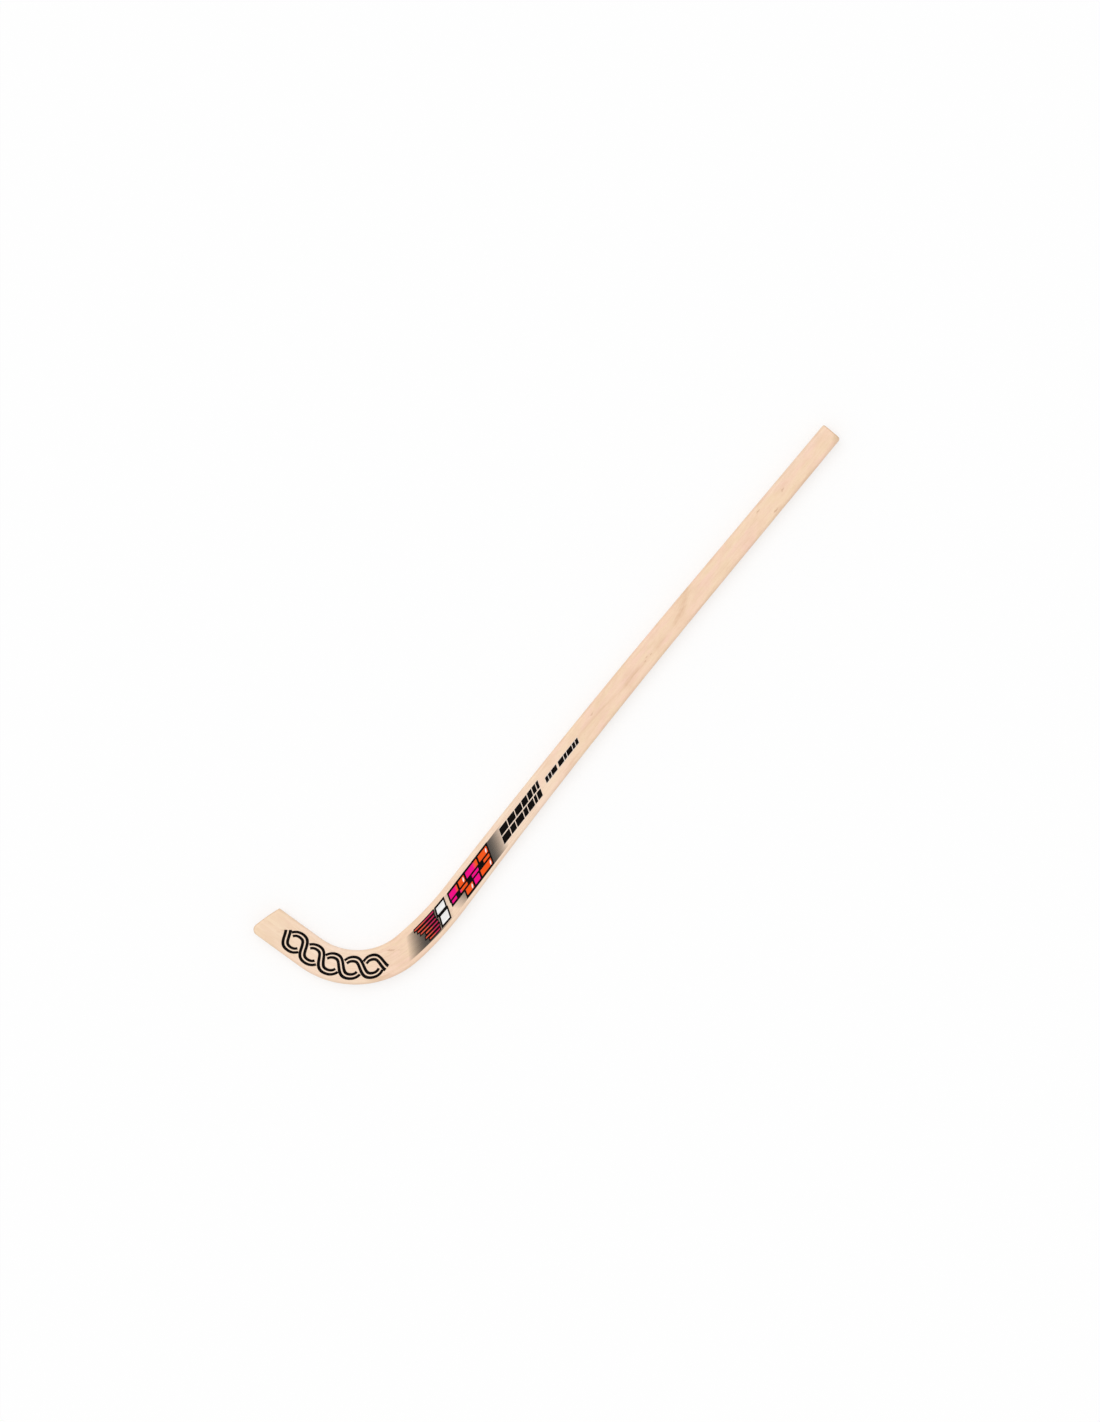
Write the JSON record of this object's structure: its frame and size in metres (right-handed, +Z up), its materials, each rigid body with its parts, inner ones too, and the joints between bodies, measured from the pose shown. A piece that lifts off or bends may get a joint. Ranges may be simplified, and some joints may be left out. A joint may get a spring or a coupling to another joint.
{
  "type": "roller hockey stick",
  "caption": "Wooden roller hockey stick: a straight flat-sided shaft that widens and bends through a tight curve into a short upturned blade, with printed decoration on one face.",
  "frame": {"origin": "centre of the bounding box in X and Y, at the lower face that the stick lies on", "axes": "+X along the shaft towards the butt, +Y towards the toe of the blade, +Z up through the thickness, out of the printed face"},
  "size_m": [0.9598, 0.1926, 0.0204],
  "materials": {
    "beech_blank": "satin lacquer over pale steamed beech",
    "beech_lamina": "satin lacquer over pale steamed beech",
    "print_black": "thin printed transfer under the lacquer",
    "print_colour": "thin printed transfer under the lacquer"
  },
  "bodies": {
    "root": {"shaft_blank": "beech_blank", "blade_lamina_1": "beech_lamina", "blade_lamina_2": "beech_lamina", "blade_lamina_3": "beech_lamina", "blade_lamina_4": "beech_lamina", "blade_lamina_5": "beech_lamina", "blade_transfer": "print_black", "panel_transfer": "print_colour", "bar_transfer": "print_black", "tick_transfer": "print_black"}
  },
  "joints": []
}
